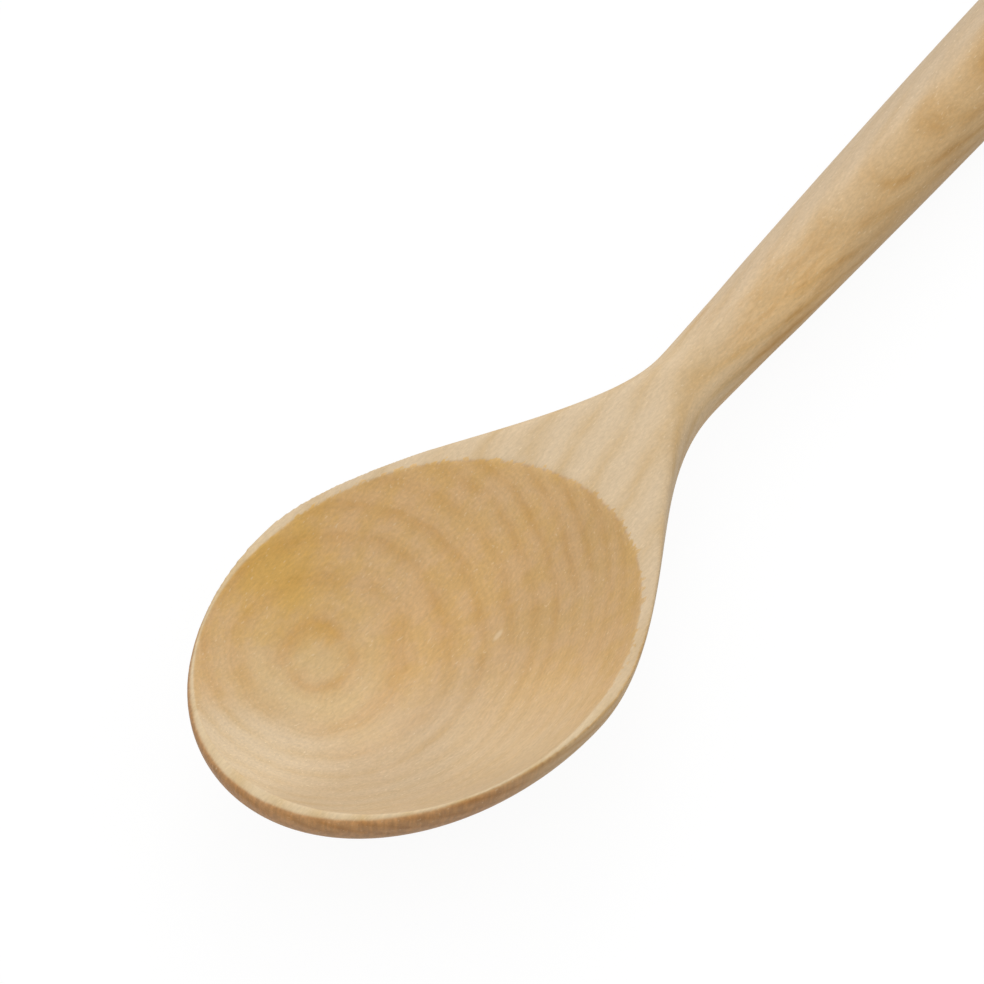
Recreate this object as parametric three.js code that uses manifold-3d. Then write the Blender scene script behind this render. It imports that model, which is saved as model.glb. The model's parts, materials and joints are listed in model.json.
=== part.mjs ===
// A plain wooden ladle: bowl, flat shoulder, neck and handle, cut from one length of hardwood.
// Millimetres, +Z up. It lies at rest on its belly and on the end of its handle, tip towards -X.

import * as THREE from 'three';
import { mergeVertices } from 'three/addons/utils/BufferGeometryUtils.js';
import Module from 'manifold-3d';

// The sizes are measured as a maker marks out the blank: the rim lies in the plane z = 0,
// the bowl is widest at x = 0, and the handle runs towards +X.

// Overall
const OVERALL_LENGTH = 300;
const BOWL_WIDTH = 64;
const BELLY_DEPTH = 18.5;

// Outline of the bowl, from its widest place
const TIP_LENGTH = 46;
const SHOULDER_LENGTH = 71;
const FLANK_FULLNESS = 21;
const NECK_SWEEP = 22.5;

// Hollow of the bowl
const RIM_LAND = 1.5;
const SHOULDER_FLAT = 34;
const FLOOR_THICKNESS = 5;
const HOLLOW_WIDEST_X = -5;
const HOLLOW_CAP_ANGLE = THREE.MathUtils.degToRad(37.5);

// Neck and handle, whose axis starts below the rim plane and rises towards the end
const NECK_DIAMETER = 12.6;
const NECK_DROP = 5.8;
const DROP_START = 12;
const HANDLE_RISE = THREE.MathUtils.degToRad(1.9);
const SWELL_ANGLE = THREE.MathUtils.degToRad(1.5);
const GRIP_DIAMETER = 17.5;
const GRIP_DISTANCE = 115;
const END_DIAMETER = 15.5;
const END_TAPER_ANGLE = THREE.MathUtils.degToRad(2);
const END_ROUNDING = 8;

// Share of a curve over which it keeps the direction that it has at its end
const TANGENT_SHARE = 1 / 3;

// Flat top of rim and shoulder, which runs out at the neck along an arc
const RUNOUT_START = 58;
const RUNOUT_RADIUS = 60;

// Facets
const SIDES = 48;
const TIP_STATIONS = 14;
const FLANK_STATIONS = 22;
const HANDLE_STATIONS = 12;
const END_STATIONS = 5;
const HOLLOW_SIDES = 72;
const HOLLOW_RINGS = 12;
const RUNOUT_STEPS = 12;
const CUTTER_MARGIN = 5;
const REST_PASSES = 8;

const WOOD_COLOUR = 0xd2ab78;
const WOOD_ROUGHNESS = 0.6;

const HALF_WIDTH = BOWL_WIDTH / 2;
const NECK_RADIUS = NECK_DIAMETER / 2;
const { lerp, smoothstep } = THREE.MathUtils;

const wasm = await Module();
wasm.setup();

// The tip half of the bowl: a quarter ellipse in plan and in side view.
function tipSections() {
  const sections = [];
  for (let i = 0; i < TIP_STATIONS; i++) {
    const angle = (Math.PI / 2) * (i / TIP_STATIONS);
    const share = Math.sin(angle);
    sections.push({
      x: -TIP_LENGTH * Math.cos(angle),
      z: 0,
      halfWidth: HALF_WIDTH * share,
      halfHeight: BELLY_DEPTH * share,
    });
  }
  return sections;
}

// The flank sweeps in from the widest place to the neck, while the deep oval turns into a round.
function flankSections() {
  const outline = new THREE.CubicBezierCurve(
    new THREE.Vector2(0, HALF_WIDTH),
    new THREE.Vector2(FLANK_FULLNESS, HALF_WIDTH),
    new THREE.Vector2(SHOULDER_LENGTH - NECK_SWEEP, NECK_RADIUS),
    new THREE.Vector2(SHOULDER_LENGTH, NECK_RADIUS),
  );
  return outline.getPoints(FLANK_STATIONS).map(({ x, y }) => ({
    x,
    z: -NECK_DROP * smoothstep(x, DROP_START, SHOULDER_LENGTH),
    halfWidth: y,
    halfHeight: lerp(BELLY_DEPTH, NECK_RADIUS, smoothstep(x, 0, SHOULDER_LENGTH)),
  }));
}

// The handle: a steady swell to the grip, then a taper, then a rounded end, round all the way.
function handleSections() {
  const length = OVERALL_LENGTH - TIP_LENGTH - SHOULDER_LENGTH;
  const taperEnd = length - END_ROUNDING;
  const grip = GRIP_DIAMETER / 2;
  const end = END_DIAMETER / 2;
  const swellReach = GRIP_DISTANCE * TANGENT_SHARE;
  const taperReach = (taperEnd - GRIP_DISTANCE) * TANGENT_SHARE;
  const swell = new THREE.CubicBezierCurve(
    new THREE.Vector2(0, NECK_RADIUS),
    new THREE.Vector2(swellReach, NECK_RADIUS + swellReach * Math.tan(SWELL_ANGLE)),
    new THREE.Vector2(GRIP_DISTANCE - swellReach, grip),
    new THREE.Vector2(GRIP_DISTANCE, grip),
  );
  const taper = new THREE.CubicBezierCurve(
    new THREE.Vector2(GRIP_DISTANCE, grip),
    new THREE.Vector2(GRIP_DISTANCE + taperReach, grip),
    new THREE.Vector2(taperEnd - taperReach, end + taperReach * Math.tan(END_TAPER_ANGLE)),
    new THREE.Vector2(taperEnd, end),
  );
  const rounding = new THREE.EllipseCurve(taperEnd, 0, END_ROUNDING, end, Math.PI / 2, 0, true);
  const profile = [
    ...swell.getPoints(HANDLE_STATIONS).slice(1),
    ...taper.getPoints(HANDLE_STATIONS).slice(1),
    ...rounding.getPoints(END_STATIONS).slice(1),
  ];
  return profile.map(({ x, y }) => ({
    x: SHOULDER_LENGTH + x,
    z: x * Math.tan(HANDLE_RISE) - NECK_DROP,
    halfWidth: y,
    halfHeight: y,
  }));
}

// Skins a row of elliptical sections, of which the first and the last are single points.
function loft(sections) {
  const first = sections[0];
  const last = sections.at(-1);
  const rings = sections.slice(1, -1);
  const positions = [];
  for (const { x, z, halfWidth, halfHeight } of rings) {
    for (let i = 0; i < SIDES; i++) {
      const angle = (2 * Math.PI * i) / SIDES;
      positions.push(x, halfWidth * Math.cos(angle), z + halfHeight * Math.sin(angle));
    }
  }
  const firstPoint = rings.length * SIDES;
  const lastPoint = firstPoint + 1;
  positions.push(first.x, 0, first.z, last.x, 0, last.z);
  const lastRing = (rings.length - 1) * SIDES;
  const triangles = [];
  for (let i = 0; i < SIDES; i++) {
    const next = (i + 1) % SIDES;
    triangles.push(firstPoint, next, i);
    for (let ring = 0; ring < lastRing; ring += SIDES) {
      triangles.push(ring + i, ring + next, ring + SIDES + i);
      triangles.push(ring + next, ring + SIDES + next, ring + SIDES + i);
    }
    triangles.push(lastPoint, lastRing + i, lastRing + next);
  }
  const geometry = new THREE.BufferGeometry();
  geometry.setAttribute('position', new THREE.Float32BufferAttribute(positions, 3));
  geometry.setIndex(triangles);
  return geometry;
}

// What is planed off the top: all above the rim plane, with the cut rising along an arc at the neck.
function topWaste() {
  const height = BELLY_DEPTH + CUTTER_MARGIN;
  const width = BOWL_WIDTH + 2 * CUTTER_MARGIN;
  const tipSide = -TIP_LENGTH - CUTTER_MARGIN;
  const runoutAngle = Math.acos(1 - NECK_DIAMETER / RUNOUT_RADIUS);
  const outline = new THREE.Shape();
  outline.moveTo(tipSide, height);
  outline.lineTo(tipSide, 0);
  outline.lineTo(RUNOUT_START, 0);
  outline.absarc(RUNOUT_START, RUNOUT_RADIUS, RUNOUT_RADIUS, -Math.PI / 2, runoutAngle - Math.PI / 2, false);
  outline.lineTo(RUNOUT_START + RUNOUT_RADIUS * Math.sin(runoutAngle), height);
  const geometry = new THREE.ExtrudeGeometry(outline, {
    depth: width,
    bevelEnabled: false,
    curveSegments: RUNOUT_STEPS,
  });
  geometry.rotateX(Math.PI / 2);
  geometry.translate(0, width / 2, 0);
  return geometry;
}

// What is scooped out of the bowl: the cap of a ball, stretched to the depth and width and drawn out into
// an egg along X. The more of the ball the cap takes in, the steeper is the wall at the rim.
function hollowWaste() {
  const halfWidth = HALF_WIDTH - RIM_LAND;
  const depth = BELLY_DEPTH - FLOOR_THICKNESS;
  const towardsTip = HOLLOW_WIDEST_X + TIP_LENGTH - RIM_LAND;
  const towardsNeck = SHOULDER_LENGTH - SHOULDER_FLAT - HOLLOW_WIDEST_X;
  const capHeight = 1 - Math.cos(HOLLOW_CAP_ANGLE);
  const profile = [];
  for (let i = 0; i <= HOLLOW_RINGS; i++) {
    const angle = (HOLLOW_CAP_ANGLE * i) / HOLLOW_RINGS;
    const sink = (Math.cos(angle) - Math.cos(HOLLOW_CAP_ANGLE)) / capHeight;
    profile.push(new THREE.Vector2(Math.sin(angle) / Math.sin(HOLLOW_CAP_ANGLE), -depth * sink));
  }
  profile.push(new THREE.Vector2(1, CUTTER_MARGIN));
  profile.push(new THREE.Vector2(0, CUTTER_MARGIN));
  const geometry = new THREE.LatheGeometry(profile, HOLLOW_SIDES);
  geometry.rotateX(Math.PI / 2);
  const positions = geometry.getAttribute('position');
  for (let i = 0; i < positions.count; i++) {
    const x = positions.getX(i);
    const stretch = x < 0 ? towardsTip : towardsNeck;
    positions.setX(i, HOLLOW_WIDEST_X + x * stretch);
    positions.setY(i, positions.getY(i) * halfWidth);
  }
  return geometry;
}

// A closed geometry as a solid that can be cut. Triangles that shrink to a line at a pole are left out.
function toSolid(geometry) {
  geometry.deleteAttribute('normal');
  geometry.deleteAttribute('uv');
  const merged = mergeVertices(geometry);
  const corners = merged.getIndex().array;
  const triangles = [];
  for (let i = 0; i < corners.length; i += 3) {
    const [a, b, c] = corners.slice(i, i + 3);
    if (a !== b && b !== c && c !== a) {
      triangles.push(a, b, c);
    }
  }
  return new wasm.Manifold(new wasm.Mesh({
    numProp: 3,
    vertProperties: merged.getAttribute('position').array,
    triVerts: new Uint32Array(triangles),
  }));
}

function toGeometry(solid) {
  const { vertProperties, triVerts } = solid.getMesh();
  const geometry = new THREE.BufferGeometry();
  geometry.setAttribute('position', new THREE.BufferAttribute(vertProperties, 3));
  geometry.setIndex(new THREE.BufferAttribute(triVerts, 1));
  geometry.computeVertexNormals();
  return geometry;
}

// The lowest point, within a stretch of X, of a shape tilted about Y.
function lowestPoint(geometry, tilt, fromX, toX) {
  const positions = geometry.getAttribute('position');
  const turned = new THREE.Vector3();
  const axis = new THREE.Vector3(0, 1, 0);
  let lowest = null;
  let lowestHeight = Infinity;
  for (let i = 0; i < positions.count; i++) {
    const point = new THREE.Vector3().fromBufferAttribute(positions, i);
    const height = turned.copy(point).applyAxisAngle(axis, tilt).z;
    if (point.x >= fromX && point.x < toX && height < lowestHeight) {
      lowest = point;
      lowestHeight = height;
    }
  }
  return lowest;
}

// The tilt about Y at which the belly and the end of the handle touch the table together.
function restTilt(geometry) {
  let tilt = 0;
  for (let pass = 0; pass < REST_PASSES; pass++) {
    const belly = lowestPoint(geometry, tilt, -Infinity, SHOULDER_LENGTH);
    const handleEnd = lowestPoint(geometry, tilt, SHOULDER_LENGTH, Infinity);
    tilt = Math.atan2(handleEnd.z - belly.z, handleEnd.x - belly.x);
  }
  return tilt;
}

const blank = toSolid(loft([...tipSections(), ...flankSections(), ...handleSections()]));
const carved = blank.subtract(toSolid(topWaste())).subtract(toSolid(hollowWaste()));
const wood = new THREE.MeshStandardMaterial({ color: WOOD_COLOUR, roughness: WOOD_ROUGHNESS, metalness: 0 });
const ladle = new THREE.Mesh(toGeometry(carved), wood);
ladle.name = 'ladle';

// Laid on the table, with the origin under the middle of the box that it fills.
const resting = new THREE.Group();
resting.add(ladle);
resting.rotation.y = restTilt(ladle.geometry);
const box = new THREE.Box3().setFromObject(resting, true);
const middle = box.getCenter(new THREE.Vector3());
resting.position.set(-middle.x, -middle.y, -box.min.z);

export default resting;
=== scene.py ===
# %% [markdown]
# # A wooden ladle, carved and finished in Blender
# The ladle is one length of pale hardwood: an egg-shaped bowl, a flat shoulder, a neck and a
# round handle. A maker turns and bands a blank, saws the top flat, scoops the hollow and sands
# the edges. The cells below follow the same order, so that each surface gets its shape for the
# same reason as on the bench. First comes the measured part, which fixes where everything goes.

import json
import math

import bpy
from mathutils import Euler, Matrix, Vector


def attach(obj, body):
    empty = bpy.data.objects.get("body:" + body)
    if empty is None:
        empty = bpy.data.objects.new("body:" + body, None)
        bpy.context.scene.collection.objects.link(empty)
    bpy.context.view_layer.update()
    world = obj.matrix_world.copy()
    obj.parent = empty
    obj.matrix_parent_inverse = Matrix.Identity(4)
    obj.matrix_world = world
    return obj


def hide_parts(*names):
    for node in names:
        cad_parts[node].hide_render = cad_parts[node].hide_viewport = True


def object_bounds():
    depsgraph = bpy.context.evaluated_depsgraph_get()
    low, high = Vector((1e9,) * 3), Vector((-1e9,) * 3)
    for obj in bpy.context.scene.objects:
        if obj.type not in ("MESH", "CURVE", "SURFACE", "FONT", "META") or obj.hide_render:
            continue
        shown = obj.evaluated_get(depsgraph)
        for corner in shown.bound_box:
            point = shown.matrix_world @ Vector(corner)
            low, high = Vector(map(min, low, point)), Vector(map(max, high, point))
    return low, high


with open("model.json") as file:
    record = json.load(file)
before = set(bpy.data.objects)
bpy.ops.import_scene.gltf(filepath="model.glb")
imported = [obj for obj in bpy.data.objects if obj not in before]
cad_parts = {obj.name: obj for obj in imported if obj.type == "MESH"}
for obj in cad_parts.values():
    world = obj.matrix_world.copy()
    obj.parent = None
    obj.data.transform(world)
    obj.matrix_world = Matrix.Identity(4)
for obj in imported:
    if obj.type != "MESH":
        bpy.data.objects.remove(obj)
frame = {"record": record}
cad_low, cad_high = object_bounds()
bpy.ops.object.select_all(action="DESELECT")
print("measured part:", [round(side * 1000, 1) for side in cad_high - cad_low], "mm")

# %% [markdown]
# ## The blank
# On the real ladle every cut across the length is an oval: wide and deep at the bowl, small and
# round at the neck, a little thicker at the grip. A lathe-like solid could be made with the Screw
# modifier, but that only gives round sections. Extruding a disc from station to station, and
# resizing it at each one, gives ovals that change in width and depth separately.
# The sizes are marked out with the rim in the plane z = 0 and the bowl widest at x = 0.

# %% Sizes of the blank
MM = 0.001
OVERALL_LENGTH = 300 * MM
BOWL_WIDTH = 64 * MM
BELLY_DEPTH = 18.5 * MM
TIP_LENGTH = 46 * MM
SHOULDER_LENGTH = 71 * MM
FLANK_FULLNESS = 21 * MM
NECK_SWEEP = 22.5 * MM
NECK_DIAMETER = 12.6 * MM
NECK_DROP = 5.8 * MM
DROP_START = 12 * MM
HANDLE_RISE = math.radians(1.9)
SWELL_ANGLE = math.radians(1.5)
GRIP_DIAMETER = 17.5 * MM
GRIP_DISTANCE = 115 * MM
END_DIAMETER = 15.5 * MM
END_TAPER_ANGLE = math.radians(2)
END_ROUNDING = 8 * MM
HANDLE_LENGTH = OVERALL_LENGTH - TIP_LENGTH - SHOULDER_LENGTH
print("handle:", round(HANDLE_LENGTH / MM), "mm from the neck to the end")

# %% Stations of the bowl
TIP_STEPS = 32
FLANK_STEPS = 44


def ease(value, low, high):
    """A share from 0 to 1 that starts and stops gently between two values."""
    share = min(max((value - low) / (high - low), 0), 1)
    return share * share * (3 - 2 * share)


def bezier(points, share):
    """A point on the curve that four points steer, as a curve with handles does in Blender."""
    a, b, c, d = (Vector(point) for point in points)
    rest = 1 - share
    return a * rest**3 + b * 3 * rest**2 * share + c * 3 * rest * share**2 + d * share**3


def tip_stations():
    """(place along the blank, height of the middle, half width, half height) of each oval."""
    for step in range(1, TIP_STEPS):
        angle = math.pi / 2 * step / TIP_STEPS
        size = math.sin(angle)
        yield -TIP_LENGTH * math.cos(angle), 0, BOWL_WIDTH / 2 * size, BELLY_DEPTH * size


def flank_stations():
    neck = NECK_DIAMETER / 2
    outline = [
        (0, BOWL_WIDTH / 2),
        (FLANK_FULLNESS, BOWL_WIDTH / 2),
        (SHOULDER_LENGTH - NECK_SWEEP, neck),
        (SHOULDER_LENGTH, neck),
    ]
    for step in range(FLANK_STEPS + 1):
        x, half_width = bezier(outline, step / FLANK_STEPS)
        middle = -NECK_DROP * ease(x, DROP_START, SHOULDER_LENGTH)
        half_height = BELLY_DEPTH + (neck - BELLY_DEPTH) * ease(x, 0, SHOULDER_LENGTH)
        yield x, middle, half_width, half_height


stations = [*tip_stations(), *flank_stations()]
print("bowl:", len(stations), "stations")

# %% [markdown]
# The handle swells from the neck to the grip, tapers a little towards its end and is rounded off
# there. It is round all the way, and it rises slightly from the neck. Two curves, each steered by four
# points, give the swell and the taper, and a quarter of an oval gives the end.

# %% Stations of the handle
HANDLE_STEPS = 24
END_STEPS = 12


def handle_stations():
    neck, grip, end = NECK_DIAMETER / 2, GRIP_DIAMETER / 2, END_DIAMETER / 2
    taper_end = HANDLE_LENGTH - END_ROUNDING
    swell_reach = GRIP_DISTANCE / 3
    taper_reach = (taper_end - GRIP_DISTANCE) / 3
    swell = [
        (0, neck),
        (swell_reach, neck + swell_reach * math.tan(SWELL_ANGLE)),
        (GRIP_DISTANCE - swell_reach, grip),
        (GRIP_DISTANCE, grip),
    ]
    taper = [
        (GRIP_DISTANCE, grip),
        (GRIP_DISTANCE + taper_reach, grip),
        (taper_end - taper_reach, end + taper_reach * math.tan(END_TAPER_ANGLE)),
        (taper_end, end),
    ]
    profile = [bezier(swell, step / HANDLE_STEPS) for step in range(1, HANDLE_STEPS + 1)]
    profile += [bezier(taper, step / HANDLE_STEPS) for step in range(1, HANDLE_STEPS + 1)]
    for step in range(1, END_STEPS):
        angle = math.pi / 2 * step / END_STEPS
        profile.append((taper_end + END_ROUNDING * math.sin(angle), end * math.cos(angle)))
    for distance, radius in profile:
        middle = distance * math.tan(HANDLE_RISE) - NECK_DROP
        yield SHOULDER_LENGTH + distance, middle, radius, radius


stations += handle_stations()
print("blank:", len(stations), "stations")

# %% [markdown]
# A disc is placed at the first station, turned across the blank and made oval. Extrude then carries
# its edge on to each next station, where it is resized about that station's own middle, so that the
# skin behind it closes as it goes.

# %% Extrude the blank
SIDES = 128

x, middle, half_width, half_height = stations[0]
bpy.ops.mesh.primitive_circle_add(
    vertices=SIDES, radius=half_height, fill_type="NGON",
    location=(x, 0, middle), rotation=(0, math.pi / 2, 0),
)
ladle = bpy.context.object
ladle.name = ladle.data.name = "carved_ladle"
bpy.ops.object.transform_apply(location=True, rotation=True, scale=True)
bpy.ops.object.mode_set(mode="EDIT")
bpy.ops.mesh.select_all(action="SELECT")
bpy.ops.transform.resize(
    value=(1, half_width / half_height, 1), center_override=(x, 0, middle),
)
for last, station in zip(stations, stations[1:]):
    last_x, last_middle, last_half_width, last_half_height = last
    x, middle, half_width, half_height = station
    move = (x - last_x, 0, middle - last_middle)
    bpy.ops.mesh.extrude_region_move(TRANSFORM_OT_translate={"value": move})
    bpy.ops.transform.resize(
        value=(1, half_width / last_half_width, half_height / last_half_height),
        center_override=(x, 0, middle),
    )
bpy.ops.mesh.select_all(action="SELECT")
bpy.ops.mesh.normals_make_consistent(inside=False)
bpy.ops.object.mode_set(mode="OBJECT")
print("blank:", [round(side / MM, 1) for side in ladle.dimensions], "mm,",
      len(ladle.data.polygons), "faces")

# %% [markdown]
# ## The flat top
# The rim and the shoulder lie in one plane, which the saw leaves, and at the neck the saw curves
# up and out of the wood. That run-out is why the flat ends in a rounded tongue between the two
# flanks. A cube has the flat as its underside, and its end face, spun up about a point over the
# neck, follows the saw. A Boolean takes that waste away from the blank.
# Two helpers serve this cut and the next: one selects the part of a mesh to work on, and the other
# takes the waste away.

# %% Helpers for cutting
def pick(piece, kind, wanted):
    """Opens the piece in edit mode with only those vertices or faces selected that pass a test."""
    mesh = piece.data
    for part in (*mesh.vertices, *mesh.edges, *mesh.polygons):
        part.select = False
    for part in mesh.vertices if kind == "VERT" else mesh.polygons:
        part.select = wanted(part)
    bpy.context.view_layer.objects.active = piece
    bpy.context.tool_settings.mesh_select_mode = (kind == "VERT", False, kind == "FACE")
    bpy.ops.object.mode_set(mode="EDIT")


def cut_away(piece, waste):
    """Takes the waste's shape out of the piece with a Boolean modifier, then deletes the waste."""
    bpy.ops.object.select_all(action="DESELECT")
    bpy.context.view_layer.objects.active = piece
    cut = piece.modifiers.new("cut", "BOOLEAN")
    cut.object = waste
    cut.solver = "EXACT"
    bpy.ops.object.modifier_apply(modifier=cut.name)
    bpy.data.objects.remove(waste)
    print(piece.name, "after the cut:", len(piece.data.polygons), "faces")


print("helpers: pick and cut_away")

# %% Saw the top flat
RUNOUT_START = 58 * MM
RUNOUT_RADIUS = 60 * MM
RUNOUT_ANGLE = math.radians(30)
RUNOUT_STEPS = 24
WASTE_MARGIN = 5 * MM
WASTE_HEIGHT = 40 * MM
TOWARDS_NECK = 0.9
HAIR = 0.001 * MM

bpy.ops.object.select_all(action="DESELECT")
waste_length = TIP_LENGTH + WASTE_MARGIN + RUNOUT_START
bpy.ops.mesh.primitive_cube_add(
    size=1, location=(RUNOUT_START - waste_length / 2, 0, WASTE_HEIGHT / 2),
    scale=(waste_length, BOWL_WIDTH + 2 * WASTE_MARGIN, WASTE_HEIGHT),
)
top_waste = bpy.context.object
bpy.ops.object.transform_apply(location=True, rotation=True, scale=True)
pick(top_waste, "FACE", lambda face: face.normal.x > TOWARDS_NECK)
bpy.ops.mesh.delete(type="ONLY_FACE")
bpy.ops.mesh.select_mode(type="EDGE")
bpy.ops.mesh.select_non_manifold()
bpy.ops.mesh.spin(
    steps=RUNOUT_STEPS, angle=RUNOUT_ANGLE,
    center=(RUNOUT_START, 0, RUNOUT_RADIUS), axis=(0, 1, 0),
)
bpy.ops.mesh.edge_face_add()
bpy.ops.mesh.select_all(action="SELECT")
bpy.ops.mesh.remove_doubles(threshold=HAIR)
bpy.ops.mesh.normals_make_consistent(inside=False)
bpy.ops.object.mode_set(mode="OBJECT")
print("top waste:", [round(side / MM, 1) for side in top_waste.dimensions], "mm")
cut_away(ladle, top_waste)

# %% [markdown]
# ## The hollow
# A round cutter scoops the hollow: shallow, with a floor that curves evenly up to a crisp edge,
# and a little longer towards the neck than towards the tip. A sphere with its two halves stretched
# by different amounts is that egg shape, and only its lowest cap reaches into the wood.

# %% Scoop the hollow
RIM_LAND = 1.5 * MM
TIP_LAND = 2.5 * MM
SHOULDER_FLAT = 34 * MM
FLOOR_THICKNESS = 5 * MM
HOLLOW_WIDEST_X = -5 * MM
CAP_ANGLE = math.radians(37.5)
CUTTER_SEGMENTS = 160
CUTTER_RINGS = 120

hollow_depth = BELLY_DEPTH - FLOOR_THICKNESS
hollow_half_width = BOWL_WIDTH / 2 - RIM_LAND
reach_to_tip = TIP_LENGTH - TIP_LAND + HOLLOW_WIDEST_X
reach_to_neck = SHOULDER_LENGTH - SHOULDER_FLAT - HOLLOW_WIDEST_X
ball_height = hollow_depth / (1 - math.cos(CAP_ANGLE))
spread = 1 / math.sin(CAP_ANGLE)

bpy.ops.object.select_all(action="DESELECT")
bpy.ops.mesh.primitive_uv_sphere_add(
    segments=CUTTER_SEGMENTS, ring_count=CUTTER_RINGS, radius=1,
)
hollow_waste = bpy.context.object
bpy.ops.object.mode_set(mode="EDIT")
bpy.ops.mesh.select_all(action="SELECT")
bpy.ops.transform.resize(
    value=(reach_to_tip * spread, hollow_half_width * spread, ball_height),
    center_override=(0, 0, 0),
)
bpy.ops.object.mode_set(mode="OBJECT")
pick(hollow_waste, "VERT", lambda vertex: vertex.co.x > HAIR)
bpy.ops.transform.resize(
    value=(reach_to_neck / reach_to_tip, 1, 1), center_override=(0, 0, 0),
)
bpy.ops.mesh.select_all(action="SELECT")
bpy.ops.transform.translate(
    value=(HOLLOW_WIDEST_X, 0, ball_height * math.cos(CAP_ANGLE)),
)
bpy.ops.object.mode_set(mode="OBJECT")
print("hollow:", round(hollow_depth / MM, 1), "mm deep,",
      round(2 * hollow_half_width / MM, 1), "mm wide")
cut_away(ladle, hollow_waste)

# %% [markdown]
# ## Sanding
# No edge of the real ladle is sharp: sandpaper has eased the rim to a small round, and the edges
# at the neck and round the tip are worn rounder still. A Bevel modifier works on clean edges, but
# the cuts leave edges with many short pieces. A voxel remesh gives the whole surface an even skin
# of small squares, and a few passes of Smooth then wear down the edges and leave the broad surfaces
# where they are, as paper round a block does. A vertex group lets Smooth go on in one place only:
# each point's weight says how much of every pass it takes, so the wear fades out along the rim.
# The skin is finer than the finished mesh has to be, so Decimate thins it afterwards.

# %% Helpers for sanding
PASS_STRENGTH = 0.5


def finish_with(piece, kind, **settings):
    """Adds one modifier to the piece, with these settings, and applies it."""
    modifier = piece.modifiers.new(kind.lower(), kind)
    for setting, value in settings.items():
        setattr(modifier, setting, value)
    bpy.context.view_layer.objects.active = piece
    bpy.ops.object.modifier_apply(modifier=modifier.name)


def wear(piece, name, passes, share_at):
    """Smooths the piece further, each point by the share that a function gives for its place."""
    group = piece.vertex_groups.new(name=name)
    for vertex in piece.data.vertices:
        share = share_at(vertex.co)
        if share > 0:
            group.add([vertex.index], share, "REPLACE")
    finish_with(piece, "SMOOTH", factor=PASS_STRENGTH, iterations=passes, vertex_group=name)
    piece.vertex_groups.clear()
    print(name, "worn by", passes, "more passes")


print("helpers: finish_with and wear")

# %% Sand the edges
SKIN_SIZE = 0.3 * MM
SANDING_PASSES = 9
NECK_PASSES = 240
NECK_STARTS = (26 * MM, 52 * MM)
NECK_STOPS = (98 * MM, 86 * MM)
TIP_PASSES = 60
TIP_STARTS = (-8 * MM, -30 * MM)
TIP_EDGE_DEPTH = (-7 * MM, -3 * MM)
OUTSIDE_HOLLOW = (1.0, 1.02)
KEPT_SHARE = 0.27


def neck_share(point):
    """How much of the extra wear a point near the neck takes."""
    return ease(point.x, *NECK_STARTS) * ease(point.x, *NECK_STOPS)


def tip_share(point):
    """How much of the extra wear a point on the edge round the tip takes, outside the hollow."""
    along = (point.x - HOLLOW_WIDEST_X) / reach_to_tip
    across = point.y / hollow_half_width
    outside = ease(math.hypot(along, across), *OUTSIDE_HOLLOW)
    return ease(point.x, *TIP_STARTS) * ease(point.z, *TIP_EDGE_DEPTH) * outside


finish_with(ladle, "REMESH", mode="VOXEL", voxel_size=SKIN_SIZE)
finish_with(ladle, "SMOOTH", factor=PASS_STRENGTH, iterations=SANDING_PASSES)
wear(ladle, "neck edges", NECK_PASSES, neck_share)
wear(ladle, "tip edge", TIP_PASSES, tip_share)
finish_with(ladle, "DECIMATE", ratio=KEPT_SHARE)
ladle.select_set(True)
bpy.ops.object.shade_smooth()
ladle.data.calc_loop_triangles()
print("sanded ladle:", len(ladle.data.loop_triangles), "triangles")

# %% [markdown]
# ## Laying it down
# At rest the ladle lies on its belly and near the end of its handle, so the rim is tilted. The
# measured part has a mount on the flat shoulder, and the direction of that mount is the tilt.
# The tip of the rim is the measured box's far corner, which fixes the place. The turn and the
# move are then applied, so that the object itself stays at the origin.

# %% Lay it on the table
shoulder = next(mount for mount in frame["record"]["mounts"] if mount["name"] == "rim_shoulder")
rest_tilt = math.atan2(shoulder["axis"][0], shoulder["axis"][2])
tip_corner = Vector((cad_low.x, 0, cad_high.z))
carving_origin = tip_corner + TIP_LENGTH * Vector((math.cos(rest_tilt), 0, -math.sin(rest_tilt)))

ladle.rotation_euler = (0, rest_tilt, 0)
ladle.location = carving_origin
bpy.ops.object.transform_apply(location=True, rotation=True, scale=True)
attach(ladle, "root")
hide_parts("ladle")
print("rim tilt:", round(math.degrees(rest_tilt), 2), "degrees")

# %% [markdown]
# ## The wood
# The ladle is cut from pale, close-grained hardwood. Its growth rings are nearly flat sheets that
# lie tilted in the blank, so they show as loops in the hollow, as long lines on the shoulder and
# as pointed arches along the handle. A picture of wood wrapped round the shape would not do
# that. Here each ring is worked out from where a point lies inside the solid, so that every cut
# shows the rings where the real one does. The coordinates are turned back to the way that the
# blank was marked out, in millimetres, so that the fibres run along X.
# A material of this kind has many nodes, and most of them do one of a few small jobs. The helpers
# below each place the nodes for one such job, so that the cells after them can be read as sentences:
# a mask is a value from 0 to 1 that says how much of something is seen at a point.

# %% Helpers for shader nodes
NOISE_MIDDLE = 0.5


def put(tree, kind, inputs=(), **settings):
    """Adds a node with these settings; an input takes a value or another node's output."""
    made = tree.nodes.new("ShaderNode" + kind)
    for name, value in settings.items():
        setattr(made, name, value)
    for name, value in dict(inputs).items():
        if isinstance(value, bpy.types.NodeSocket):
            tree.links.new(value, made.inputs[name])
        else:
            made.inputs[name].default_value = value
    return made


def calc(tree, operation, *values):
    """One sum with a Math node; MULTIPLY_ADD is the first times the second, plus the third."""
    return put(tree, "Math", enumerate(values), operation=operation).outputs[0]


def times(tree, first, *others):
    """Multiplies masks and numbers, so that a mask holds only where all of them do."""
    for value in others:
        first = calc(tree, "MULTIPLY", first, value)
    return first


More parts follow.
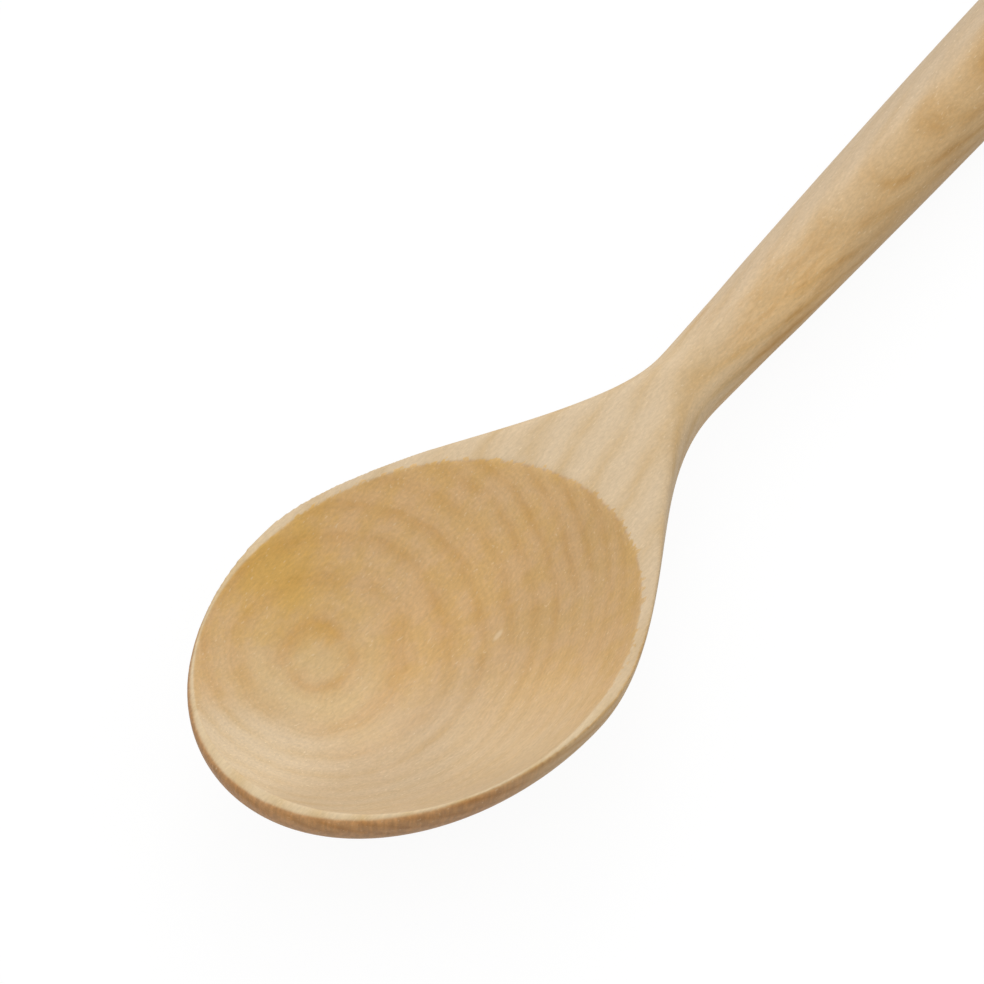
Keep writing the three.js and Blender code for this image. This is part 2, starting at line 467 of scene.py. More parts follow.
def between(tree, value, low, high, to_low=0.0, to_high=1.0, smooth=True):
    """Rescales a value from one range to another, and keeps it inside the new range."""
    settings = {0: value, 1: low, 2: high, 3: to_low, 4: to_high}
    kind = "SMOOTHSTEP" if smooth else "LINEAR"
    return put(tree, "MapRange", settings, interpolation_type=kind).outputs[0]


def measure(tree, operation, place, other=(0, 0, 0)):
    """One number from two vectors: their DISTANCE or DOT_PRODUCT, or the LENGTH of the first."""
    return put(tree, "VectorMath", {0: place, 1: other}, operation=operation).outputs["Value"]


def stretch(tree, place, scale):
    """Pulls a pattern out along an axis, by shrinking the coordinates along it."""
    return put(tree, "VectorMath", {0: place, 1: scale}, operation="MULTIPLY").outputs[0]


def noise(tree, place, scale, detail=2.0, roughness=0.5, pull=1.0):
    """Noise with so many lumps to a millimetre; a pull below 1 draws them out along the fibres."""
    place = stretch(tree, place, (pull, 1, 1))
    settings = {"Vector": place, "Scale": scale, "Detail": detail, "Roughness": roughness}
    return put(tree, "TexNoise", settings).outputs["Fac"]


def new_group(name, outputs):
    """A node group that takes a place in the wood and puts out the named values."""
    group = bpy.data.node_groups.new(name, "ShaderNodeTree")
    group.interface.new_socket("Place", in_out="INPUT", socket_type="NodeSocketVector")
    for output in outputs:
        group.interface.new_socket(output, in_out="OUTPUT", socket_type="NodeSocketFloat")
    place = group.nodes.new("NodeGroupInput").outputs["Place"]
    return group, place, group.nodes.new("NodeGroupOutput")


print("helpers: put, calc, times, between, measure, stretch, noise and new_group")

# %% [markdown]
# ### Growth rings
# The height of a point above one chosen sheet says which ring it lies in. The sheets are flat, lean
# across the blank and rise slowly along it, which is three numbers: the bowl's loops and the
# arches along the handle both follow from them. Within a ring the wood turns slowly darker and then
# starts afresh, so the height is divided by the ring spacing and a colour ramp shapes what is left
# over. The same height, cut finer, gives the faint lines between the rings. Noise bends the
# sheets, breaks the bands and makes some rings stronger than others, as no two years are alike.
# Under the deep part of the hollow the tree had a bud: the sheets dip round it, and the scoop has
# cut through the dip, which leaves one small ring inside the loops.

# %% Rings
RING_SPACING = 2.43
RING_OFFSET = 19.45
SHEET_RISE = 0.083
SHEET_LEAN = -0.379
BEND = 2.2
RIPPLE = 1.0
BUD_MIDDLE = (-8.4, 16.1, -10.4)
BUD_REACH = 14.0
BUD_DEPTH = 1.0
BAND = ((0.12, 0.35), (0.36, 0.0), (0.56, 0.15), (0.78, 0.7), (0.9, 1.0))
BAND_START = 0.75
YEAR_STRENGTH = (0, 1, 0.6, 1.0)
BREAKS = (0.36, 0.6, 0.4, 1.0)
FINE_LINES = 5
FINE_PEAK = 0.5

rings, place, out = new_group("growth_rings", ["Late Wood", "Fine"])
axes = put(rings, "SeparateXYZ", {0: place}).outputs
bend = noise(rings, place, scale=0.045, detail=2, pull=0.5)
ripple = noise(rings, place, scale=0.3, detail=3, pull=0.4)
dip = between(rings, measure(rings, "DISTANCE", place, BUD_MIDDLE), BUD_REACH, 0.0)
height = calc(rings, "MULTIPLY_ADD", axes["X"], SHEET_RISE, axes["Z"])
height = calc(rings, "MULTIPLY_ADD", axes["Y"], SHEET_LEAN, height)
height = calc(rings, "MULTIPLY_ADD", calc(rings, "SUBTRACT", bend, NOISE_MIDDLE), BEND, height)
height = calc(rings, "MULTIPLY_ADD", calc(rings, "SUBTRACT", ripple, NOISE_MIDDLE), RIPPLE, height)
height = calc(rings, "MULTIPLY_ADD", dip, -BUD_DEPTH, height)
year = calc(rings, "DIVIDE", calc(rings, "ADD", height, RING_OFFSET), RING_SPACING)
ramp = put(rings, "ValToRGB", {0: calc(rings, "FRACT", year)})
ramp.color_ramp.interpolation = "EASE"
for end in ramp.color_ramp.elements:
    end.color = (BAND_START, BAND_START, BAND_START, 1)
for position, level in BAND:
    ramp.color_ramp.elements.new(position).color = (level, level, level, 1)
chance = put(rings, "TexWhiteNoise", {"W": calc(rings, "FLOOR", year)}, noise_dimensions="1D")
strength = between(rings, chance.outputs["Value"], *YEAR_STRENGTH, smooth=False)
breaks = between(rings, noise(rings, place, scale=0.17, detail=3, pull=0.5), *BREAKS)
band = times(rings, ramp.outputs[0], strength, breaks)
fine = calc(rings, "PINGPONG", calc(rings, "MULTIPLY", year, FINE_LINES), FINE_PEAK)
rings.links.new(band, out.inputs["Late Wood"])
rings.links.new(fine, out.inputs["Fine"])
print("rings:", len(rings.nodes), "nodes,", RING_SPACING, "mm apart")

# %% [markdown]
# ### Fibres and flecks
# Between the rings the wood is a bundle of fibres along X. Noise that is pulled out along X gives
# long streaks, and where a cut crosses the fibres the same noise shows as fine speckle, as
# end grain does. Short bright flecks are rays and raised fibres that catch the light. Round the tip
# the cut fibre ends stand in short upright lines, so that noise is pulled out along Z instead.

# %% Fibres
FLECK_PEAKS = (0.67, 0.77)
UPRIGHT = (1, 1, 0.12)

fibres, place, out = new_group("wood_fibres", ["Streak", "Fleck", "Fuzz", "End Lines"])
streak = noise(fibres, place, scale=0.7, detail=4, roughness=0.6, pull=0.05)
fleck = noise(fibres, place, scale=3.0, detail=1, roughness=0.4, pull=0.3)
fuzz = noise(fibres, place, scale=2.6, detail=3, roughness=0.65, pull=0.35)
end_lines = noise(fibres, stretch(fibres, place, UPRIGHT), scale=1.6)
fibres.links.new(streak, out.inputs["Streak"])
fibres.links.new(between(fibres, fleck, *FLECK_PEAKS), out.inputs["Fleck"])
fibres.links.new(fuzz, out.inputs["Fuzz"])
fibres.links.new(end_lines, out.inputs["End Lines"])
print("fibres:", len(fibres.nodes), "nodes")

# %% [markdown]
# ### The colours of the wood
# Bare wood has no single colour. The sawn top is pale, partly its own colour and partly painted
# sheen, and so is the side of the handle towards the light, where the pale is painted sheen. The
# hollow is honey-coloured and a little pink, the sides away from the light are painted tan as
# painted shade, and the cut fibre ends round the tip are brown. The colours are written as a paint
# program shows them, and mixed afterwards by masks, so that each can be changed by itself. Late
# wood is a stain that multiplies whatever colour is there.

# %% Colours
def srgb(red, green, blue):
    """A colour as a paint program gives it, 0 to 255, turned into the light that Blender mixes."""
    shares = [level / 255 for level in (red, green, blue)]
    light = [s / 12.92 if s <= 0.04045 else ((s + 0.055) / 1.055) ** 2.4 for s in shares]
    return (*light, 1.0)


# PALE is also the painted sheen on the side towards the light, and TAN the painted shade on the side
# away from it.
PALE = srgb(214, 188, 150)
TAN = srgb(225, 188, 134)
HONEY = srgb(219, 178, 114)
PINKISH = srgb(222, 182, 128)
CREAM = srgb(220, 194, 143)
OCHRE = srgb(218, 174, 88)
# A pale for the far side of the hollow's tip: partly wear, partly painted sheen.
PALE_WEAR_AND_SHEEN = srgb(226, 203, 168)
# A pale for the painted highlight on the rim's land round the tip.
LAND_HIGHLIGHT = srgb(227, 201, 158)
HEART = srgb(207, 163, 102)
# A grey for the painted sheen on the handle's side towards the light, and for the slope up to the
# hollow's tip, which is partly wear and partly painted sheen.
GREY_SHEEN_AND_WEAR = srgb(205, 182, 150)
END_GRAIN = srgb(200, 146, 90)
BRIGHT_FLECK = srgb(238, 214, 174)
LATE_STAIN = (0.86, 0.76, 0.53, 1)
print("colours: pale wood is", [round(level, 3) for level in PALE[:3]], "in Blender's light")

# %% [markdown]
# ### Where a point lies
# A material knows two things about each point: where it lies in the object, and which way the
# surface faces there. Object coordinates give the place, because they stay with the wood when the
# ladle moves. The Mapping node turns them back to the marked-out blank, whose X runs along the
# fibres, and changes metres to millimetres. The two node groups are placed once and feed all that
# follows.

# %% Place in the wood
wood = bpy.data.materials.new("pale_hardwood")
wood.use_nodes = True
tree = wood.node_tree
surface = tree.nodes["Principled BSDF"]
turned_back = Vector(carving_origin)
turned_back.rotate(Euler((0, -rest_tilt, 0)))
sample = put(tree, "TexCoord").outputs
place = put(tree, "Mapping", {
    "Vector": sample["Object"],
    "Location": -turned_back / MM,
    "Rotation": (0, -rest_tilt, 0),
    "Scale": (1 / MM, 1 / MM, 1 / MM),
}).outputs[0]
lengthwise, sideways, _ = put(tree, "SeparateXYZ", {0: place}).outputs
facing_end, facing_side, facing_up = put(tree, "SeparateXYZ", {0: sample["Normal"]}).outputs
ring = put(tree, "Group", {"Place": place}, node_tree=rings).outputs
fibre = put(tree, "Group", {"Place": place}, node_tree=fibres).outputs
print("place:", [round(step, 1) for step in turned_back / MM], "mm back to the marked-out blank")

# %% [markdown]
# ### The mask of the hollow
# The hollow is whatever lies inside the egg-shaped outline of the scoop and faces up. Sideways and
# lengthwise distances, each divided by the scoop's reach that way, make a length of exactly 1 at
# the edge. At the neck end the cutter leaves the wood across its fibres and tears a few of them
# out, so there a fine noise lets the colour of the hollow run a little way over the flat.

# %% Inside the hollow
HOLLOW_EDGE = (1.005, 0.99)
HOLLOW_FACING = (0.1, 0.4)
TORN_FIBRES = (0.45, 0.7)
TORN_REACH = (-10, 15, 0.0, 0.03)


def less(tree, mask, share=1.0):
    """What is left of 1 when a share of a mask is taken away."""
    return calc(tree, "MULTIPLY_ADD", mask, -share, 1.0)


from_widest = calc(tree, "SUBTRACT", lengthwise, HOLLOW_WIDEST_X / MM)
to_neck = calc(tree, "GREATER_THAN", from_widest, 0)
reach = calc(tree, "MULTIPLY_ADD", to_neck, (reach_to_neck - reach_to_tip) / MM, reach_to_tip / MM)
share_along = calc(tree, "DIVIDE", from_widest, reach)
share_across = calc(tree, "DIVIDE", sideways, hollow_half_width / MM)
egg = put(tree, "CombineXYZ", {0: share_along, 1: share_across}).outputs[0]
egg = measure(tree, "LENGTH", egg)
torn = between(tree, noise(tree, place, scale=0.9, detail=3, roughness=0.65, pull=0.45), *TORN_FIBRES)
torn = times(tree, torn, between(tree, lengthwise, *TORN_REACH))
in_hollow = between(tree, calc(tree, "SUBTRACT", egg, torn), *HOLLOW_EDGE)
in_hollow = times(tree, in_hollow, between(tree, facing_up, *HOLLOW_FACING))
outside = less(tree, in_hollow)
print("hollow mask:", len(tree.nodes), "nodes so far")

# %% [markdown]
# ### Painted sheen and shade, oiled hollow
# The side of the ladle towards the light is painted pale, as painted sheen, and the side away from
# it is painted warm, as painted shade: the direction of the surface says how much. The sawn flat is
# pale all over, partly its own colour and partly painted sheen, and the flanks of the shoulder are
# kept pale as painted light. In the hollow, use has soaked oil into the cut fibres, least of all in
# the stretch that slopes down from the tip, where stirring wears it off. Broad noise keeps any of
# these from being even, and a finer one mottles the hollow between honey and pink.

# %% Pale and warm wood
LIT_SIDE = (0.0, 0.83, 0.56)
PAINTED_SHADE_RANGE = (0.95, -0.2)
SAWN_FACING = (0.88, 0.98)
SAWN_END = (88, 62)
FLANK_START = (8, 30)
FLANK_END = (95, 70)
FLANK_FACING = (-0.5, 0.2)
FLANK_PAINTED_LIGHT = 0.8
TIP_SLOPE_DIRECTION = (-0.6, -0.41, -0.68)
OILED = (3, 20, 1.0, 0.3)
UNEVEN_TONE = (0.3, 0.7, -0.18, 0.18)
MOTTLE = (0.38, 0.62)


def tint(tree, share, below, above, blend="MIX"):
    """Lays a colour over another by a share, or multiplies it in."""
    mixed = put(tree, "Mix", {0: share, 6: below, 7: above}, data_type="RGBA", blend_type=blend)
    return mixed.outputs[2]


# Painted shade and sheen: outside the hollow, faces turned away from the light get the warm tan, and
# faces towards it stay pale.
to_lit_side = measure(tree, "DOT_PRODUCT", sample["Normal"], LIT_SIDE)
# The sawn flat is kept pale: partly its own colour, partly painted sheen.
sawn = times(tree, between(tree, facing_up, *SAWN_FACING), between(tree, lengthwise, *SAWN_END))
flank = times(tree, between(tree, lengthwise, *FLANK_START), between(tree, lengthwise, *FLANK_END))
flank = times(tree, flank, between(tree, facing_up, *FLANK_FACING))
painted_shade = times(tree, between(tree, to_lit_side, *PAINTED_SHADE_RANGE, smooth=False), less(tree, sawn), outside)
# The shoulder's flanks are taken out of the painted shade: painted light.
painted_shade = times(tree, painted_shade, less(tree, flank, FLANK_PAINTED_LIGHT))
downhill = measure(tree, "DOT_PRODUCT", place, TIP_SLOPE_DIRECTION)
oiled = times(tree, in_hollow, between(tree, downhill, *OILED))
tone = between(tree, noise(tree, place, scale=0.06, detail=3, pull=0.35), *UNEVEN_TONE)
shade_and_warmth = calc(tree, "ADD", calc(tree, "ADD", painted_shade, oiled), tone)
mottle = noise(tree, place, scale=0.26, detail=4, roughness=0.62, pull=0.6)
colour = tint(tree, between(tree, mottle, *MOTTLE), HONEY, PINKISH)
colour = tint(tree, in_hollow, TAN, colour)
colour = tint(tree, calc(tree, "MAXIMUM", shade_and_warmth, 0), PALE, colour)
print("base colour:", len(tree.nodes), "nodes so far")

# %% [markdown]
# ### Marks in the hollow
# The early wood round the small inner ring is cream-coloured. A patch of ochre heartwood shows in
# the far side of the hollow, with a ragged outline that the mottling gives it, a small hook of the
# same ochre lies on the inner ring, and a trace of it follows the torn edge. The slope up to the
# tip, which faces the light, is painted a little grey, and its far side pale: partly wear from use,
# partly painted sheen. Each mark is a distance from a point or along a direction, faded out
# between two values in millimetres, because such marks have no edges of their own.

# %% Marks in the hollow
CREAM_MIDDLE = (-13, 14, -10)
CREAM_REACH = (22, 2)
CREAM_SHARE = 0.5
EARLY_POWER = 2.0
PATCH_MIDDLE = (-3, 29, -3)
PATCH_REACH = (18, 2)
PATCH_RAGGEDNESS = 14
PATCH_SHARE = 0.9
HOOK_MIDDLE = (-6, 17, -9.4)
HOOK_REACH = (5, 1)
EDGE_BAND = (0.9, 0.99)
EDGE_START = (5, 25)
EDGE_SHARE = 0.2
TIP_SLOPE = (12, 20)
TIP_SLOPE_LENGTH = (-14, -28)
TIP_SLOPE_WEAR_SHEEN_SHARE = 0.35
WEAR_SHEEN_SLOPE = (11, 18)
WEAR_SHEEN_LENGTH = (-18, -32)
WEAR_SHEEN_WIDTH = (-6, 7)
WEAR_SHEEN_SHARE = 0.85

early_wood = calc(tree, "POWER", less(tree, ring["Late Wood"]), EARLY_POWER)
cream = between(tree, measure(tree, "DISTANCE", place, CREAM_MIDDLE), *CREAM_REACH)
colour = tint(tree, times(tree, cream, early_wood, CREAM_SHARE), colour, CREAM)
from_patch = measure(tree, "DISTANCE", place, PATCH_MIDDLE)
ragged = calc(tree, "SUBTRACT", mottle, NOISE_MIDDLE)
ragged = calc(tree, "MULTIPLY_ADD", ragged, PATCH_RAGGEDNESS, from_patch)
patch = times(tree, between(tree, ragged, *PATCH_REACH), in_hollow, PATCH_SHARE)
hook = between(tree, measure(tree, "DISTANCE", place, HOOK_MIDDLE), *HOOK_REACH)
hook = times(tree, hook, ring["Late Wood"])
edge = times(tree, between(tree, egg, *EDGE_BAND), between(tree, lengthwise, *EDGE_START))
edge = times(tree, edge, in_hollow, EDGE_SHARE)
ochre = calc(tree, "MAXIMUM", calc(tree, "MAXIMUM", patch, hook), edge)
colour = tint(tree, ochre, colour, OCHRE)
# Partly wear, partly painted sheen: the slope up to the tip, which faces the light, is painted grey.
tip_slope_wear_and_sheen = times(tree, between(tree, downhill, *TIP_SLOPE), in_hollow)
tip_slope_wear_and_sheen = times(tree, tip_slope_wear_and_sheen, between(tree, lengthwise, *TIP_SLOPE_LENGTH))
colour = tint(tree, times(tree, tip_slope_wear_and_sheen, TIP_SLOPE_WEAR_SHEEN_SHARE), colour, GREY_SHEEN_AND_WEAR)
# Partly wear, partly painted sheen: the far side of that slope is painted pale.
worn = times(tree, between(tree, downhill, *WEAR_SHEEN_SLOPE), between(tree, lengthwise, *WEAR_SHEEN_LENGTH))
worn = times(tree, worn, between(tree, sideways, *WEAR_SHEEN_WIDTH), in_hollow)
colour = tint(tree, times(tree, worn, WEAR_SHEEN_SHARE), colour, PALE_WEAR_AND_SHEEN)
print("marks in the hollow:", len(tree.nodes), "nodes so far")

# %% [markdown]
# ### Handle and tip
# Along the warm side of the handle, which is its painted shade, and on the neck run streaks of
# darker heartwood, stronger in the late wood of each ring. The other side, towards the light, is
# painted grey and a little darker as painted sheen, and the whole handle is a little browner than
# the bowl, with handling. Round the tip the narrow land of the rim is painted pale as a painted
# highlight. Where the outside turns towards the tip, the saw has cut the fibres across, and end
# grain soaks up the most oil: it is the brownest part of all, and less so underneath.

# %% Handle and tip
FIGURE = (0.44, 0.62)
FIGURE_IN_RING = (0, 1, 0.7, 1.35)
HEART_POWER = 1.5
HEART_SHARE = 0.45
NECK_HEART_START = (72, 84)
NECK_HEART_END = (114, 98)
NECK_HEART_SHARE = 0.48
GREY_SHEEN_START = (70, 95)
GREY_SHEEN_SIDE = (0.45, 0.0)
GREY_SHEEN_SHARE = 0.8
HANDLED = (72, 92)
HANDLED_SHARE = 0.15
LAND_FACING = (0.8, 0.97)
LAND_START = (12, -12)
LAND_HIGHLIGHT_SHARE = 0.65
END_GRAIN_FACING = (-0.05, -0.45)
END_GRAIN_BELOW = (-0.95, -0.4, 0.4, 1.0)
END_GRAIN_SHARE = 0.9

figure = between(tree, noise(tree, place, scale=0.38, detail=5, roughness=0.7, pull=0.18), *FIGURE)
figure = times(tree, figure, between(tree, ring["Late Wood"], *FIGURE_IN_RING))
at_neck = between(tree, lengthwise, *NECK_HEART_START)
at_neck = times(tree, at_neck, between(tree, lengthwise, *NECK_HEART_END))
# The heartwood streaks follow the painted shade on the handle.
heart = times(tree, calc(tree, "POWER", painted_shade, HEART_POWER), HEART_SHARE)
heart = calc(tree, "MULTIPLY_ADD", at_neck, NECK_HEART_SHARE, heart)
colour = tint(tree, times(tree, heart, figure), colour, HEART)
# Painted sheen: the side of the handle towards the light is painted grey and a little darker.
painted_grey_sheen = times(tree, between(tree, lengthwise, *GREY_SHEEN_START), between(tree, painted_shade, *GREY_SHEEN_SIDE))
colour = tint(tree, times(tree, painted_grey_sheen, GREY_SHEEN_SHARE), colour, GREY_SHEEN_AND_WEAR)
handled = between(tree, lengthwise, *HANDLED)
colour = tint(tree, times(tree, handled, HANDLED_SHARE), colour, HEART)
# Painted highlight: the flat land of the rim round the tip is painted pale.
land_highlight = times(tree, between(tree, facing_up, *LAND_FACING), between(tree, lengthwise, *LAND_START))
colour = tint(tree, times(tree, land_highlight, outside, LAND_HIGHLIGHT_SHARE), colour, LAND_HIGHLIGHT)
to_tip = times(tree, between(tree, facing_end, *END_GRAIN_FACING), outside)
to_tip = times(tree, to_tip, between(tree, facing_up, *END_GRAIN_BELOW))
colour = tint(tree, times(tree, to_tip, END_GRAIN_SHARE), colour, END_GRAIN)
print("handle and tip:", len(tree.nodes), "nodes so far")

# %% [markdown]
# ### Rings over the colour
# Now the rings are laid over the colours as a stain, which multiplies whatever is there. They are
# a little stronger in the painted shade, and weaker on the handle's painted grey sheen, on the
# slope to the tip and in the near side of the hollow, where wear has faded them.

# %% Rings over the colour
LATE_SHARE = 0.74
LATE_IN_SHADE = 0.25
GREY_SHEEN_FADING = 0.6
TIP_FADING = 0.4
NEAR_FADING = (-4, -20)
NEAR_FADING_SHARE = 0.6

late = calc(tree, "MULTIPLY_ADD", painted_shade, LATE_IN_SHADE, LATE_SHARE)
faded = times(tree, in_hollow, between(tree, sideways, *NEAR_FADING))
late = times(tree, late, less(tree, painted_grey_sheen, GREY_SHEEN_FADING), less(tree, tip_slope_wear_and_sheen, TIP_FADING))
late = times(tree, late, less(tree, faded, NEAR_FADING_SHARE))
colour = tint(tree, times(tree, late, ring["Late Wood"]), colour, LATE_STAIN, "MULTIPLY")
print("rings over the colour:", len(tree.nodes), "nodes so far")

# %% [markdown]
# ### Fibres, wear, painted shade and painted light over the colour
# Streaks, fuzz and fine lines make the colour a little lighter or darker from fibre to fibre. Each
# is a value near 1. Multiplied together they are one grey level, which is then multiplied into the
# colour. The level also darkens the far side of the tip and the grip. As painted shade it darkens
# the faces turned away from the light and the near side of the hollow, apart from one patch on its
# wall, and as painted light it lightens the near flank of the neck.

# %% Fibres, wear, painted shade and painted light over the colour
STREAKS = (0.3, 0.7, 0.975, 1.02)
FUZZ = (0.3, 0.7, 0.91, 1.09)
LINES = (0.0, FINE_PEAK, 0.98, 1.015)
END_LINES = (0.35, 0.65, -0.14, 0.07)
UNDERSIDE_SHADE = (-0.2, -0.9, 1.0, 0.86)
FAR_TIP = (-0.3, 0.5)
FAR_TIP_SHARE = 0.15
SPARED_PATCH_MIDDLE = (-3, -20, -8)
SPARED_PATCH_REACH = (20, 6)
NEAR_SIDE = (5, -8)
NEAR_SIDE_SHADE_SHARE = 0.115
GRIP_LEVEL = (90, 170, 1.0, 0.9)
NECK_FLANK_LIGHT_START = (55, 72)
NECK_FLANK_LIGHT_END = (118, 95)
NECK_FLANK_LIGHT_SIDE = (-0.35, -0.8)
NECK_FLANK_LIGHT_SHARE = 0.16

streaks = between(tree, fibre["Streak"], *STREAKS, smooth=False)
fuzz = between(tree, fibre["Fuzz"], *FUZZ, smooth=False)
lines = between(tree, ring["Fine"], *LINES, smooth=False)
end_lines = calc(tree, "MULTIPLY_ADD", to_tip, between(tree, fibre["End Lines"], *END_LINES), 1.0)
# Painted shade: faces turned away from the light are darkened.
underside_shade = between(tree, to_lit_side, *UNDERSIDE_SHADE)
level = times(tree, streaks, fuzz, lines, end_lines, underside_shade)
far_tip = times(tree, to_tip, between(tree, facing_side, *FAR_TIP))
level = times(tree, level, less(tree, far_tip, FAR_TIP_SHARE))
# Painted shade: the near side of the hollow is darkened, apart from one round patch on its wall.
spared_patch = between(tree, measure(tree, "DISTANCE", place, SPARED_PATCH_MIDDLE), *SPARED_PATCH_REACH)
near_side_shade = times(tree, in_hollow, between(tree, sideways, *NEAR_SIDE), less(tree, spared_patch))
level = times(tree, level, less(tree, near_side_shade, NEAR_SIDE_SHADE_SHARE))
level = times(tree, level, between(tree, lengthwise, *GRIP_LEVEL))
# Painted light: the near flank of the neck is lightened.
neck_flank_light = times(tree, between(tree, lengthwise, *NECK_FLANK_LIGHT_START), between(tree, lengthwise, *NECK_FLANK_LIGHT_END))
neck_flank_light = times(tree, neck_flank_light, between(tree, facing_side, *NECK_FLANK_LIGHT_SIDE))
level = times(tree, level, calc(tree, "MULTIPLY_ADD", neck_flank_light, NECK_FLANK_LIGHT_SHARE, 1.0))
grey = put(tree, "CombineXYZ", {axis: level for axis in "XYZ"}).outputs[0]
colour = tint(tree, 1.0, colour, grey, "MULTIPLY")
print("fibres over the colour:", len(tree.nodes), "nodes so far")

# %% [markdown]
# ### Flecks and a nick
# Last come the bright flecks, most of them in the pale patch at the hollow's tip, which is partly
# wear and partly painted sheen, and one small nick in its floor. The nick is a round spot drawn out
# into a dash, by counting less of the distance along it.

# %% Flecks and a nick
FLECK_SHARE = 0.35
FLECK_WHERE_WEAR_SHEEN = 0.65
NICK_MIDDLE = (11.9, -4.1, -11.6)
NICK_SHAPE = (0.35, 1, 0.3)
NICK = (0.6, 0.2, 0.0, 0.5)

fleck = calc(tree, "MULTIPLY_ADD", worn, FLECK_WHERE_WEAR_SHEEN, FLECK_SHARE)
colour = tint(tree, times(tree, fibre["Fleck"], fleck), colour, BRIGHT_FLECK)
from_nick = put(tree, "VectorMath", {0: place, 1: NICK_MIDDLE}, operation="SUBTRACT").outputs[0]
from_nick = measure(tree, "LENGTH", stretch(tree, from_nick, NICK_SHAPE))
colour = tint(tree, between(tree, from_nick, *NICK), colour, BRIGHT_FLECK)
print("colour:", len(tree.nodes), "nodes so far")

# %% [markdown]
# ### The feel of the surface
# The wood is sanded and oiled, not varnished, so its gloss is low and uneven: the roughness follows
# the streaks. A very small bump raises the fibres, by less than a tenth of a millimetre. The
# Principled shader takes the finished colour, roughness and bump, and its own values stay as they are.

# %% Surface
ROUGHNESS = (0.3, 0.7, 0.6, 0.53)
FUZZ_HEIGHT = 0.5
GRAIN_HEIGHT = 0.08 * MM
GRAIN_STRENGTH = 0.1

rough = between(tree, fibre["Streak"], *ROUGHNESS, smooth=False)
grain = calc(tree, "MULTIPLY_ADD", fibre["Fuzz"], FUZZ_HEIGHT, fibre["Streak"])
bump = put(tree, "Bump", {"Strength": GRAIN_STRENGTH, "Distance": GRAIN_HEIGHT, "Height": grain})
tree.links.new(colour, surface.inputs["Base Color"])
tree.links.new(rough, surface.inputs["Roughness"])
tree.links.new(bump.outputs[0], surface.inputs["Normal"])
ladle.data.materials.clear()
ladle.data.materials.append(wood)
print("wood:", len(tree.nodes), "nodes")

# %% [markdown]
# ## The table
# The ladle lies on a plain white table. A white board under a lamp never looks evenly white, so the
# table's material treats the ray that looks at it differently from the light that falls on it.
# What the camera sees, straight or in a reflection, is a glow just below white plus a little of the
# real light, and that little is where the ladle's soft shadow shows. For all other rays the table is
# a plain pale board, which throws a natural amount of light back up under the bowl.

# %% Table
TABLE_SIZE = 8
TABLE_BOUNCE = (0.45, 0.45, 0.45, 1)
TABLE_SHADE = (0.08, 0.08, 0.08, 1)
TABLE_GLOW = 0.935


def looked_at(tree):
    """1 for a ray that sees a surface straight, in a reflection or through glass, otherwise 0."""
    path = put(tree, "LightPath").outputs
    mirrored = calc(tree, "MAXIMUM", path["Is Glossy Ray"], path["Is Transmission Ray"])
    return calc(tree, "MAXIMUM", path["Is Camera Ray"], mirrored)


bpy.ops.object.select_all(action="DESELECT")
bpy.ops.mesh.primitive_plane_add(size=TABLE_SIZE, location=(0, 0, 0))
table = bpy.context.object
table.name = "table"
white = bpy.data.materials.new("white_table")
white.use_nodes = True
white.node_tree.nodes.clear()
tree = white.node_tree
bounce = put(tree, "BsdfDiffuse", {"Color": TABLE_BOUNCE}).outputs[0]
shade = put(tree, "BsdfDiffuse", {"Color": TABLE_SHADE}).outputs[0]
glow = put(tree, "Emission", {"Strength": TABLE_GLOW}).outputs[0]
shown = put(tree, "AddShader", {0: shade, 1: glow}).outputs[0]
mixed = put(tree, "MixShader", {0: looked_at(tree), 1: bounce, 2: shown}).outputs[0]
put(tree, "OutputMaterial", {"Surface": mixed})
table.data.materials.append(white)
print("table:", table.dimensions.x, "m square")

# %% [markdown]
# ## The light
# The light is that of a product picture: soft from all round, with one large lamp behind the handle
# that brightens the top and leaves the near side of the bowl a little darker. The world gives the
# soft light. Its level, with the lamp's, is set so that a colour comes out about as it was written.
# What the camera sees of the room, straight or in a reflection, is pure white.

# %% Light
WHITE = (1, 1, 1, 1)
ROOM_LIGHT = 0.79
SOFTBOX_POWER = 5.2
SOFTBOX_SIZE = 0.6
SOFTBOX_DISTANCE = 1.3
SOFTBOX_AZIMUTH = math.radians(35)
SOFTBOX_ELEVATION = math.radians(32)

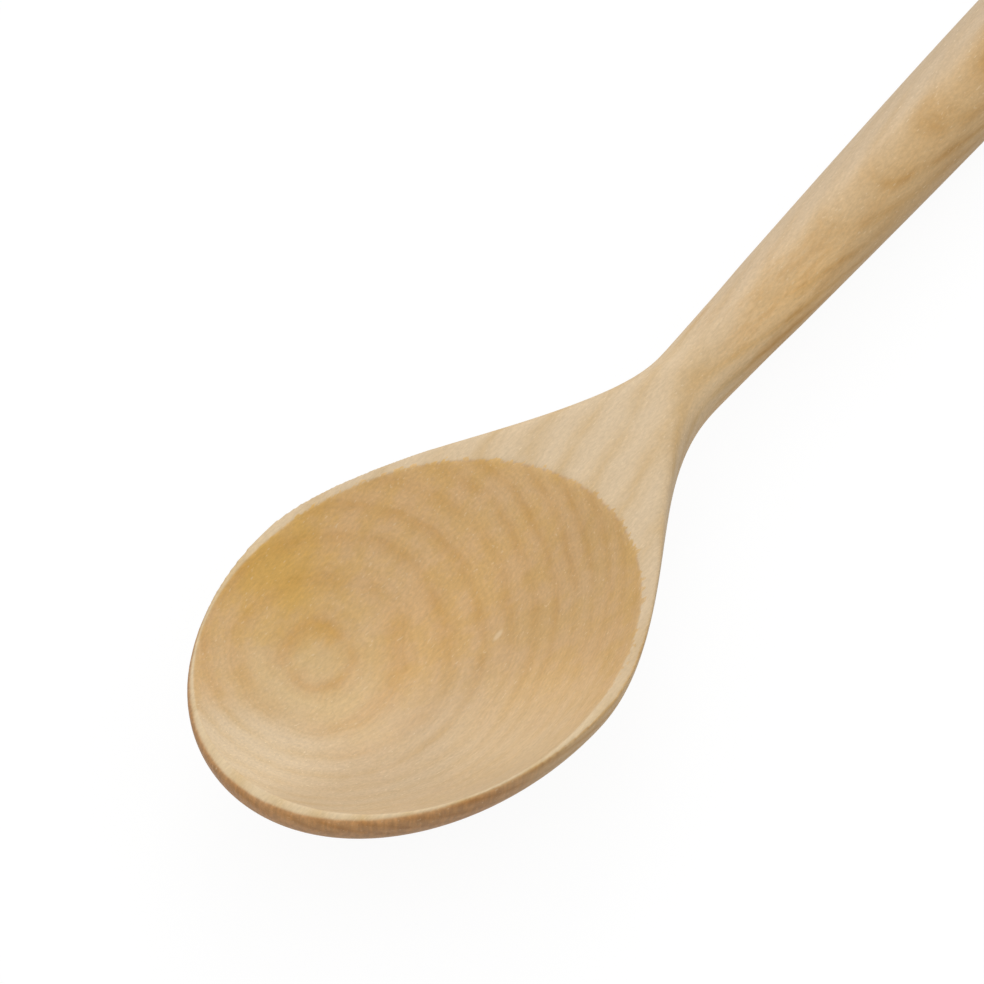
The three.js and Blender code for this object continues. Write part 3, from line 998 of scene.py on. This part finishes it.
world = bpy.data.worlds.new("room")
bpy.context.scene.world = world
world.use_nodes = True
tree = world.node_tree
tree.nodes.clear()
lit = put(tree, "Background", {"Color": WHITE, "Strength": ROOM_LIGHT}).outputs[0]
shown = put(tree, "Background", {"Color": WHITE, "Strength": 1.0}).outputs[0]
room = put(tree, "MixShader", {0: looked_at(tree), 1: lit, 2: shown}).outputs[0]
put(tree, "OutputWorld", {"Surface": room})
towards = Vector((
    math.cos(SOFTBOX_AZIMUTH) * math.cos(SOFTBOX_ELEVATION),
    math.sin(SOFTBOX_AZIMUTH) * math.cos(SOFTBOX_ELEVATION),
    math.sin(SOFTBOX_ELEVATION),
))
bpy.ops.object.light_add(
    type="AREA", location=towards * SOFTBOX_DISTANCE,
    rotation=(-towards).to_track_quat("-Z", "Y").to_euler(),
)
softbox = bpy.context.object
softbox.name = "softbox"
softbox.data.shape = "SQUARE"
softbox.data.size = SOFTBOX_SIZE
softbox.data.energy = SOFTBOX_POWER
print("light:", ROOM_LIGHT, "all round and", SOFTBOX_POWER, "W from behind")

# %% [markdown]
# ## The camera
# The camera looks down at the bowl from the tip's side, with a long lens, which keeps the handle
# from shrinking much with distance. The handle runs out of the picture. Two angles and a distance
# place the camera round the point it aims at, and the quaternion from to_track_quat turns its view,
# which is its own -Z, along that line. The Standard view transform shows the colours as they were
# mixed.

# %% Camera
LENS_ANGLE = math.radians(10)
SENSOR_WIDTH = 36
VIEW_AZIMUTH = math.radians(-55.37)
VIEW_ELEVATION = math.radians(46.85)
VIEW_DISTANCE = 886.1 * MM
AIM = Vector((-70.6, 12.2, 10)) * MM

back = Vector((
    math.sin(VIEW_AZIMUTH) * math.cos(VIEW_ELEVATION),
    -math.cos(VIEW_AZIMUTH) * math.cos(VIEW_ELEVATION),
    math.sin(VIEW_ELEVATION),
))
bpy.ops.object.camera_add(
    location=AIM + back * VIEW_DISTANCE, rotation=(-back).to_track_quat("-Z", "Y").to_euler(),
)
camera = bpy.context.object
camera.data.sensor_width = SENSOR_WIDTH
camera.data.angle = LENS_ANGLE
bpy.context.scene.camera = camera
bpy.context.scene.view_settings.view_transform = "Standard"
print("camera:", [round(step / MM) for step in camera.location], "mm,",
      "lens", round(camera.data.lens), "mm")
